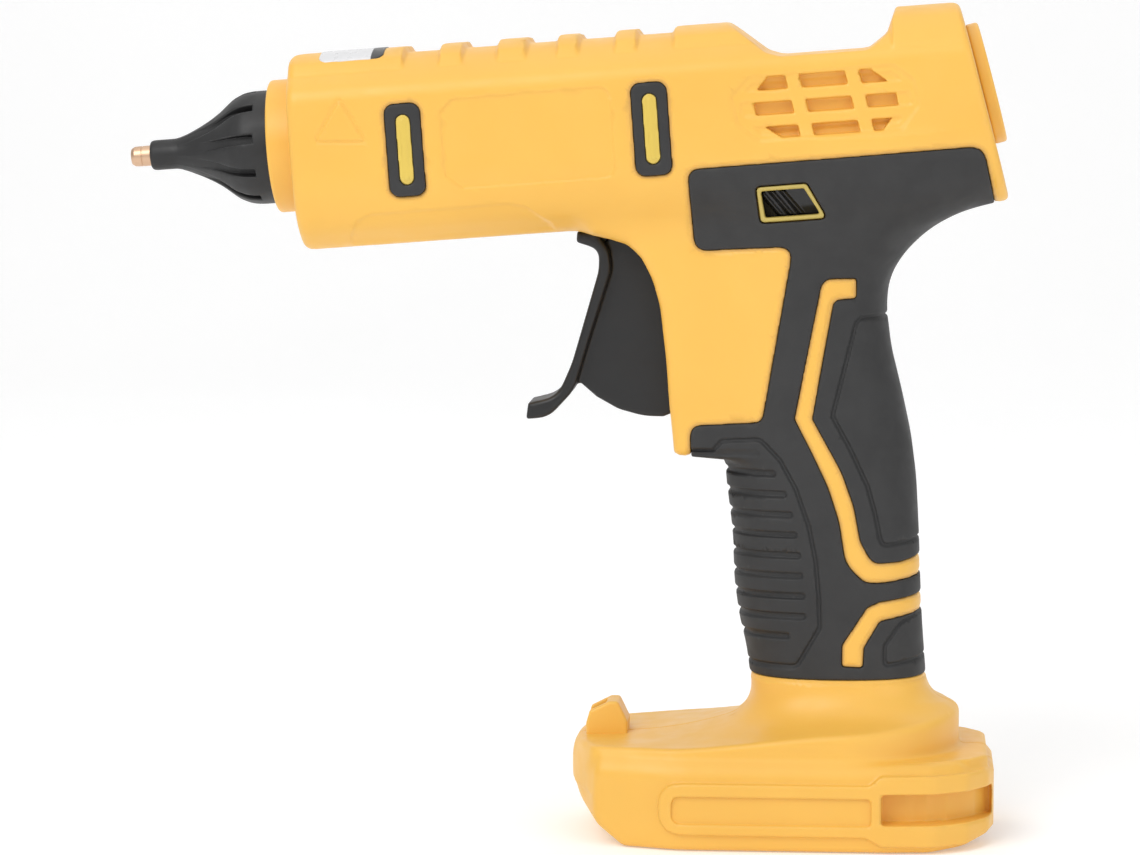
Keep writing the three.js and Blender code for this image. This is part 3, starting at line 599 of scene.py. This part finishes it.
def turned(name, profile, segments=96, lean=None):
    """A ring-shaped piece from a closed outline of (u, radius), turned about the barrel's axis."""
    points = rounded(profile)
    verts = []
    for k in range(segments):
        angle = 2 * math.pi * k / segments
        for u, r in points:
            y, v = r * math.sin(angle), r * math.cos(angle)
            if lean:
                along, rise, tilt = lean
                du, dv = u - along, v
                u = along + du * math.cos(tilt) - dv * math.sin(tilt)
                v = rise + du * math.sin(tilt) + dv * math.cos(tilt)
            x, z = to_world(u, v)
            verts.append((x * MM, y * MM, z * MM))
    n = len(points)
    faces = []
    for k in range(segments):
        for i in range(n):
            a, c = k * n + i, k * n + (i + 1) % n
            d, e = (k + 1) % segments * n + (i + 1) % n, (k + 1) % segments * n + i
            faces.append((a, c, d, e))
    mesh = bpy.data.meshes.new(name)
    mesh.from_pydata(verts, [], faces)
    area = sum(p[0] * q[1] - q[0] * p[1] for p, q in zip(points, points[1:] + points[:1]))
    if area < 0:
        mesh.flip_normals()
    mesh.shade_smooth()
    mesh.set_sharp_from_angle(angle=math.radians(32))
    return added(name, mesh)


def brass_nozzle():
    return turned("brass_nozzle", [
        (0, 0.9), (0, 2.2, 0.3), (0.9, 2.75, 0.5), (2.9, 2.85), (3.0, 2.7), (3.2, 2.7), (3.3, 2.85),
        (21.6, 2.85), (21.6, 5.6), (27, 5.6), (27, 3.6), (33, 3.6), (33, 0.9),
    ], 48)


def nose_collar():
    return turned("nose_ring", [
        (40.6, 16.2, 0.4), (40.6, 18.5, 2.2), (50.3, 18.5), (50.3, 20.6), (51.9, 20.6), (51.9, 14.2),
        (45.3, 14.2), (45.3, 16.2),
    ])


def rear_cap():
    return turned("stick_inlet_cap", [
        (237.4, 6.5), (237.4, 16.9, 0.8), (240.9, 16.9, 1.0), (240.9, 7.4, 0.6), (240.3, 6.5, 0.4),
    ], lean=(237.7, 2.9, REAR_FACE[2]))


def nozzle_boot():
    """Flared rubber boot with ten flutes that end square near its rear."""
    step = 0.28
    low, high = to_world(4.5, 0), to_world(46, 0)
    b = Block((low[0] - 1.5, -17, low[1] - 15.5), (high[0] + 1.5, 17, high[1] + 17), step)
    places = [
        (5.3, 3.9), (6.2, 4.35), (13, 4.35), (16, 5.3), (19.8, 7), (22.8, 8.6), (25.7, 10.5), (29.8, 13.9),
        (33.1, 15.4), (36, 15.8), (45, 15.8),
    ]
    reach = np.arange(-0.9, 1, 0.3)
    along, sizes = [p[0] for p in places], [p[1] for p in places]
    profile = np.mean([np.interp(b.u + r, along, sizes) for r in reach], axis=0)
    radius = np.hypot(b.y, b.v)
    skin = (radius - profile) * 0.82
    angle = np.arctan2(b.v, -b.y) - math.radians(11)
    pitch = math.radians(36)
    turn = (angle + pitch / 2) % pitch - pitch / 2
    off_centre = np.abs(radius * np.sin(turn)) - 1.15
    depth = 2.4 * np.clip((b.u - 20) / 13, 0, 1)
    flute = np.maximum(np.maximum(off_centre, b.u - 36.5), profile - depth - radius)
    skin = cut(skin, flute, 0.5)
    skin = meet(skin, b.u - 45)
    skin = meet(skin, 5.5 - b.u, 0.8)
    bore = np.maximum(radius - 3.1, b.u - 46)
    wide = radius - np.interp(b.u, [20.4, 20.5, 27, 31, 34, 45], [3.1, 4.6, 6.6, 9.9, 12.0, 12.4])
    return surface_of("rubber_nozzle_boot", b, np.maximum(skin, -np.minimum(bore, wide)), adaptivity=0.01)


# Trigger, switch and work lamp


def trigger_piece():
    b = Block((-13, -10, 113), (47, 10, 190.5), 0.32)
    strip = [
        (3.2, 168.0, 0.9), (3.1, 165.0, 0.9), (9.4, 163.0, 5), (9.2, 157.0, 12), (1.8, 131.3, 40),
        (-2.2, 122.2, 9), (-10.4, 120.2, 0.8), (-11.0, 115.6, 0.8), (-4.6, 116.2, 9), (2.6, 124.0, 12),
        (6.6, 137.5, 60), (12.9, 157.4, 8), (12.2, 163.0, 6), (8.6, 168.2, 1),
    ]
    web = [
        (2.6, 125.6), (4.2, 125.6, 1), (8.6, 121.8, 4), (14.7, 118.4, 10), (21.7, 116.5, 20), (27.2, 116.4),
    ]
    web += sector(WEB_RADIUS - 0.2, 12, 20, 4)
    web += [around_pivot(34, 24), around_pivot(20, 60), around_pivot(18.5, 92), around_pivot(9, 125)]
    web += [around_pivot(7, -60), (11, 164), (10, 152), (5, 134)]
    lean = math.radians(8) - TILT
    reach = 15.4 / math.cos(math.radians(8))

    def arm_point(h, w):
        return (
            PIVOT[0] + h * math.sin(lean) + w * math.cos(lean),
            PIVOT[1] + h * math.cos(lean) - w * math.sin(lean),
        )

    fork = [
        (2, -6), (reach + 3, -5), (reach + 3, -2.25), (reach - 3, -2.25),
        (reach - 3, 2.25), (reach + 3, 2.25), (reach + 3, 5), (2, 6),
    ]
    arm = [arm_point(h, w) for h, w in fork]
    hub = np.hypot(b.x - PIVOT[0], b.z - PIVOT[1])
    shape = meet(outline(strip, b.x, b.z), b.across - 9, 1.6)
    shape = join(shape, meet(outline(web, b.x, b.z), b.across - 6, 1.0), 1.2)
    shape = np.minimum(shape, np.maximum(outline(arm, b.x, b.z), b.across - 3.4))
    shape = np.minimum(shape, np.maximum(hub - 7, b.across - 6.6))
    shape = np.maximum(shape, 2.1 - hub)
    return surface_of("trigger_blade", b, shape, adaptivity=0.01)


def switch_block():
    return Block((47, -27, 168), (78.5, -14, 186.5), 0.22)


def switch_bezel(b, body):
    ring = cut(outline(WINDOW_OUTER, b.x, b.z) + 0.12, outline(WINDOW_INNER, b.x, b.z), 0.3)
    shape = meet(ring, body - 0.15, 0.7)
    return surface_of("switch_frame", b, np.maximum(shape, -(body + 3.4)), adaptivity=0.01)


def switch_slider(b, body):
    """Sliding switch plate with three slanted finger ridges towards its front."""
    along = (b.x - 60.2) * 0.76 + (b.z - 176.6) * 0.65
    ridge = 0
    for centre in (-2.3, 0, 2.3):
        ridge = ridge + 0.8 * np.clip(1 - np.abs(along - centre) / 0.9, 0, 1)
    ridge = ridge * (outline(WINDOW_INNER, b.x, b.z) < -0.3)
    plate = meet(outline(SLIDER_FACE, b.x, b.z), body + 3.9 - ridge, 0.3)
    return surface_of("switch_plate", b, np.maximum(plate, -(body + 5.2)), adaptivity=0.01)


def lamp_hood():
    b = Block((4.5, -7, 22), (18.5, 7, 37.5), 0.2)
    side = [
        (5.7, 23), (5.6, 29.6, 1), (6.6, 33.2, 1), (12.2, 36, 1.2), (14.6, 36, 1.2), (17.3, 30.4, 1),
        (17.3, 23),
    ]
    shape = meet(outline(side, b.x, b.z), b.across - 6, 1.0)
    opening = [(4.5, 28.4), (9.8, 33.9), (12.4, 33.9), (12.4, 26.2), (4.5, 26.2)]
    mouth = [(3, 31.2), (5, 35.6), (9.6, 37.6), (11.6, 34.6), (7.6, 30.6)]
    space = np.minimum(outline(opening, b.x, b.z), outline(mouth, b.x, b.z))
    space = np.maximum(space, b.across - 3.9)
    shape = cut(shape, space, 0.4)
    return surface_of("work_lamp_hood", b, shape, adaptivity=0.01)


def blank_sticker():
    """Blank sticker that follows the barrel's upper left bevel."""
    b = Block((-71, -21, 208), (-46, 0.5, 223), 0.25)
    place_on = rounded_box(b.u - 66, b.y + 9.4, (9, 8.7), 2.2)
    body = barrel_shape(b)
    film = meet(place_on, body - 0.25, 0.2)
    return surface_of("blank_sticker", b, np.maximum(film, -(body + 0.2)), adaptivity=0.01)


# Materials


def new_material(name):
    material = bpy.data.materials.new(name)
    material.use_nodes = True
    nodes = material.node_tree.nodes
    links = material.node_tree.links
    shader = nodes["Principled BSDF"]
    coords = nodes.new("ShaderNodeTexCoord")
    return material, nodes, links, shader, coords


def noise(nodes, links, coords, scale, detail=3.0, stretch=(1, 1, 1)):
    mapping = nodes.new("ShaderNodeMapping")
    mapping.inputs["Scale"].default_value = stretch
    texture = nodes.new("ShaderNodeTexNoise")
    texture.inputs["Scale"].default_value = scale
    texture.inputs["Detail"].default_value = detail
    links.new(coords.outputs["Object"], mapping.inputs["Vector"])
    links.new(mapping.outputs["Vector"], texture.inputs["Vector"])
    return texture.outputs["Fac"]


def spread(nodes, links, value, low, high, start=0.35, end=0.65):
    ranged = nodes.new("ShaderNodeMapRange")
    ranged.inputs["From Min"].default_value = start
    ranged.inputs["From Max"].default_value = end
    ranged.inputs["To Min"].default_value = low
    ranged.inputs["To Max"].default_value = high
    links.new(value, ranged.inputs["Value"])
    return ranged.outputs["Result"]


def blended(nodes, links, factor, first, second):
    mix = nodes.new("ShaderNodeMix")
    mix.data_type = "RGBA"
    links.new(factor, mix.inputs["Factor"])
    for socket, value in ((mix.inputs[6], first), (mix.inputs[7], second)):
        if isinstance(value, tuple):
            socket.default_value = value + (1,)
        else:
            links.new(value, socket)
    return mix.outputs[2]


def moulded(name, base, shade, wear, roughness, grain_scale, grain_depth, wear_amount=0.5, metallic=0.0):
    """Moulded, cast or machined stuff: cloudy tone, fine surface grain, and lighter worn edges."""
    material, nodes, links, shader, coords = new_material(name)
    cloud = noise(nodes, links, coords, 28, 4)
    tone = blended(nodes, links, spread(nodes, links, cloud, 0, 1), base, shade)
    shape = nodes.new("ShaderNodeNewGeometry")
    edge = spread(nodes, links, shape.outputs["Pointiness"], 0, wear_amount, 0.52, 0.62)
    tone = blended(nodes, links, edge, tone, wear)
    links.new(tone, shader.inputs["Base Color"])
    patches = noise(nodes, links, coords, 140, 3)
    links.new(spread(nodes, links, patches, roughness - 0.06, roughness + 0.06), shader.inputs["Roughness"])
    shader.inputs["Metallic"].default_value = metallic
    grain = noise(nodes, links, coords, grain_scale, 2)
    bump = nodes.new("ShaderNodeBump")
    bump.inputs["Strength"].default_value = 0.5
    bump.inputs["Distance"].default_value = grain_depth * MM
    links.new(grain, bump.inputs["Height"])
    links.new(bump.outputs["Normal"], shader.inputs["Normal"])
    return material, shader


def yellow_plastic():
    """Yellow moulding, with painted shade: darker amber where the mesh's lip attribute is raised, on the
    ledge round the rubber.
    """
    material, shader = moulded(
        "yellow_abs", (0.88, 0.50, 0.088), (0.85, 0.475, 0.08), (0.92, 0.57, 0.15), 0.42, 2600, 0.02, 0.35)
    shader.inputs["Subsurface Weight"].default_value = 0.06
    shader.inputs["Subsurface Radius"].default_value = (0.004, 0.002, 0.0005)
    nodes, links = material.node_tree.nodes, material.node_tree.links
    lip = nodes.new("ShaderNodeAttribute")
    lip.attribute_name = "lip"
    tone = shader.inputs["Base Color"].links[0].from_socket
    # painted shade: the ledge round the rubber is darkened to amber, standing in for the shade in that
    # groove
    painted_shade = spread(nodes, links, lip.outputs["Fac"], 0, 1, 0, 1)
    links.new(blended(nodes, links, painted_shade, tone, (0.60, 0.33, 0.075)), shader.inputs["Base Color"])
    return material


def plain_finishes():
    """The finishes that need nothing beyond moulded(), by name."""
    rows = {
        "olive_abs": ((0.52, 0.40, 0.10), (0.48, 0.37, 0.09), (0.6, 0.48, 0.18), 0.42, 2600, 0.02),
        "slot_plastic": ((0.72, 0.52, 0.09), (0.68, 0.49, 0.08), (0.76, 0.58, 0.2), 0.45, 2600, 0.02),
        "black_rubber": (
            (0.026, 0.026, 0.0265), (0.022, 0.022, 0.0225), (0.05, 0.05, 0.05), 0.62, 3200, 0.03, 0.4),
        "boot_silicone": (
            (0.016, 0.016, 0.0165), (0.012, 0.012, 0.0125), (0.04, 0.04, 0.04), 0.5, 2200, 0.03),
        "black_plastic": (
            (0.011, 0.011, 0.0115), (0.008, 0.008, 0.0085), (0.035, 0.035, 0.035), 0.46, 2400, 0.03),
        "gloss_black": ((0.012, 0.012, 0.013), (0.01, 0.01, 0.01), (0.03, 0.03, 0.03), 0.18, 1500, 0.01),
        "brass": ((0.72, 0.50, 0.34), (0.64, 0.43, 0.29), (0.86, 0.68, 0.5), 0.36, 1800, 0.01, 0.5, 1.0),
        "red_silicone": ((0.45, 0.10, 0.06), (0.38, 0.08, 0.05), (0.55, 0.16, 0.1), 0.55, 2400, 0.02, 0.4),
        "chamber_alloy": (
            (0.70, 0.71, 0.73), (0.6, 0.61, 0.63), (0.8, 0.8, 0.82), 0.42, 1600, 0.03, 0.5, 1.0),
        "steel": ((0.55, 0.56, 0.58), (0.48, 0.49, 0.51), (0.7, 0.7, 0.72), 0.32, 2600, 0.01, 0.5, 1.0),
        "ceramic": ((0.88, 0.86, 0.80), (0.82, 0.80, 0.74), (0.93, 0.92, 0.88), 0.6, 2400, 0.02, 0.4),
        "board": ((0.07, 0.28, 0.16), (0.05, 0.22, 0.12), (0.2, 0.4, 0.25), 0.4, 1800, 0.01, 0.4),
    }
    return {name: moulded(name, *row)[0] for name, row in rows.items()}


def clear_lens():
    material, shader = moulded(
        "clear_lens", (0.95, 0.95, 0.92), (0.9, 0.9, 0.87), (1, 1, 1), 0.15, 1200, 0.005, 0.2)
    shader.inputs["Transmission Weight"].default_value = 0.7
    shader.inputs["IOR"].default_value = 1.49
    return material


def sticker_film():
    """White film with a dark band near its rear end."""
    material, nodes, links, shader, coords = new_material("sticker_film")
    place = nodes.new("ShaderNodeSeparateXYZ")
    links.new(coords.outputs["Object"], place.inputs["Vector"])
    start = to_world(71.5, 24)[0] * MM
    dark = spread(nodes, links, place.outputs["X"], 0, 1, start, start + 0.0002)
    cloud = spread(nodes, links, noise(nodes, links, coords, 60), 0, 1)
    pale = blended(nodes, links, cloud, (0.70, 0.70, 0.71), (0.66, 0.66, 0.67))
    links.new(blended(nodes, links, dark, pale, (0.03, 0.03, 0.03)), shader.inputs["Base Color"])
    rough = spread(nodes, links, noise(nodes, links, coords, 300), 0.25, 0.35)
    links.new(rough, shader.inputs["Roughness"])
    return material


def paper_floor():
    material, nodes, links, shader, coords = new_material("paper_floor")
    cloud = spread(nodes, links, noise(nodes, links, coords, 3), 0, 1)
    tone = blended(nodes, links, cloud, (0.86, 0.86, 0.86), (0.84, 0.84, 0.84))
    links.new(tone, shader.inputs["Base Color"])
    shader.inputs["Roughness"].default_value = 0.9
    shader.inputs["Emission Color"].default_value = (1, 1, 1, 1)
    shader.inputs["Emission Strength"].default_value = 0.24
    return material


def paint(piece, material):
    piece.data.materials.clear()
    piece.data.materials.append(material)


# Putting it together


def place(piece, body, slot, material, node):
    """Fix a piece to its body, in place of the plainer node of the same part."""
    paint(piece, material)
    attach(piece, body)
    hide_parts(node)


def barrel_place(x, z):
    return (x - TIP_X) * COS + (z - TIP_Z) * SIN, (z - TIP_Z) * COS - (x - TIP_X) * SIN


def pad_distance(u, v, half, radius):
    return np.minimum(*(rounded_box(u - cu, v - cv, half, radius) for cu, cv in PAD_CENTRES.values()))


def paint_lip_shade(mesh):
    """Painted shade: the yellow is darkened to amber on the low ledge that runs round each piece of rubber.
    """
    spots = np.empty(len(mesh.vertices) * 3, np.float32)
    mesh.vertices.foreach_get("co", spots)
    x, y, z = (spots.reshape(-1, 3) / MM).T
    around = np.minimum(rubber_region(x, z), pad_distance(*barrel_place(x, z), PAD_HALF, 2.8))
    amount = np.clip((LIP - 0.2 - around) / 0.4, 0, 1) * (z > 46) * (np.abs(y) > 6)
    mesh.attributes.new("lip", "FLOAT", "POINT").data.foreach_set("value", amount.astype(np.float32))


def mark_slot_islands(mesh, slots):
    """The raised bars inside the pads' slots are of a greener plastic."""
    mesh.materials.append(slots)
    centres = np.empty(len(mesh.polygons) * 3, np.float32)
    mesh.polygons.foreach_get("center", centres)
    x, y, z = (centres.reshape(-1, 3) / MM).T
    bar = pad_distance(*barrel_place(x, z), SLOT_HALF, SLOT_HALF[0])
    on_bar = (bar < 0.2) & (np.abs(y) > 24)
    mesh.polygons.foreach_set("material_index", on_bar.astype(np.int32))


def build_object():
    finishes = plain_finishes()
    finishes["yellow_abs"] = yellow_plastic()
    finishes["clear_lens"] = clear_lens()

    def fitted(piece, body, slot, node):
        place(piece, body, slot, finishes[slot], node)

    for side, piece in zip(SIDES, housing_halves()):
        fitted(piece, "tool", "yellow_abs", f"{side}_housing")
        mark_slot_islands(piece.data, finishes["slot_plastic"])
        # painted shade on the ledge round the rubber, stored in the lip attribute
        paint_lip_shade(piece.data)
    for side, piece in zip(SIDES, overmould_halves()):
        fitted(piece, "tool", "black_rubber", f"{side}_grip_overmould")
    for node, piece in side_pads():
        fitted(piece, "tool", "black_rubber", node)
    fitted(nozzle_boot(), "tool", "boot_silicone", "nozzle_boot")
    fitted(brass_nozzle(), "tool", "brass", "nozzle")
    fitted(nose_collar(), "tool", "yellow_abs", "nose_collar")
    fitted(rear_cap(), "tool", "yellow_abs", "rear_cap")
    fitted(trigger_piece(), "trigger", "black_plastic", "trigger")
    b = switch_block()
    body, _ = body_shape(b, grip_shape(b))
    fitted(switch_bezel(b, body), "tool", "olive_abs", "switch_bezel")
    fitted(switch_slider(b, body), "slider", "gloss_black", "switch_slider")
    fitted(lamp_hood(), "tool", "yellow_abs", "lamp_hood")
    sticker = blank_sticker()
    paint(sticker, sticker_film())
    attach(sticker, "tool")
    slot_of = {row["node"]: row["material_slot"] for row in frame["record"]["subparts"]}
    for name, node in frame["nodes"].items():
        if not node.hide_render:
            paint(node, finishes[slot_of[name]])


# Studio


def backdrop():
    """Pale floor that curves up into a back wall."""
    steps = 24
    bend = 0.5
    side_view = [(-2.5, 0.0), (1.2, 0.0)]
    for k in range(1, steps + 1):
        angle = 0.5 * math.pi * k / steps
        side_view.append((1.2 + bend * math.sin(angle), bend - bend * math.cos(angle)))
    side_view.append((1.7, 3.0))
    verts = [(x, y, z - 0.0002) for y, z in side_view for x in (-3.5, 3.5)]
    faces = [(2 * i, 2 * i + 1, 2 * i + 3, 2 * i + 2) for i in range(len(side_view) - 1)]
    mesh = bpy.data.meshes.new("studio_floor")
    mesh.from_pydata(verts, [], faces)
    mesh.shade_smooth()
    floor = added("studio_floor", mesh)
    paint(floor, paper_floor())


def lamps():
    rows = {
        "key_light": ((-0.7, -1.2, 1.3), 1.1, 15),
        "fill_light": ((1.1, -1.1, 0.7), 1.4, 5),
        "top_light": ((0.0, 0.1, 1.5), 1.5, 5),
    }
    for name, (spot, size, power) in rows.items():
        data = bpy.data.lights.new(name, "AREA")
        data.size = size
        data.energy = power
        lamp = added(name, data)
        lamp.location = spot
        lamp.rotation_euler = (Vector((0, 0, 0.12)) - Vector(spot)).to_track_quat("-Z", "Y").to_euler()


def surroundings():
    world = bpy.data.worlds.new("studio_air")
    world.use_nodes = True
    air = world.node_tree.nodes["Background"]
    air.inputs["Color"].default_value = (1, 1, 1, 1)
    air.inputs["Strength"].default_value = 0.5
    bpy.context.scene.world = world
    bpy.context.scene.view_settings.view_transform = "Standard"


def main_camera():
    data = bpy.data.cameras.new("camera")
    data.lens = 133
    data.sensor_width = 36
    camera = added("camera", data)
    camera.location = (0.0887, -1.1702, 0.2359)
    camera.rotation_euler = (math.radians(84), 0, math.radians(4.3))
    bpy.context.scene.camera = camera


build_object()
backdrop()
lamps()
surroundings()
main_camera()
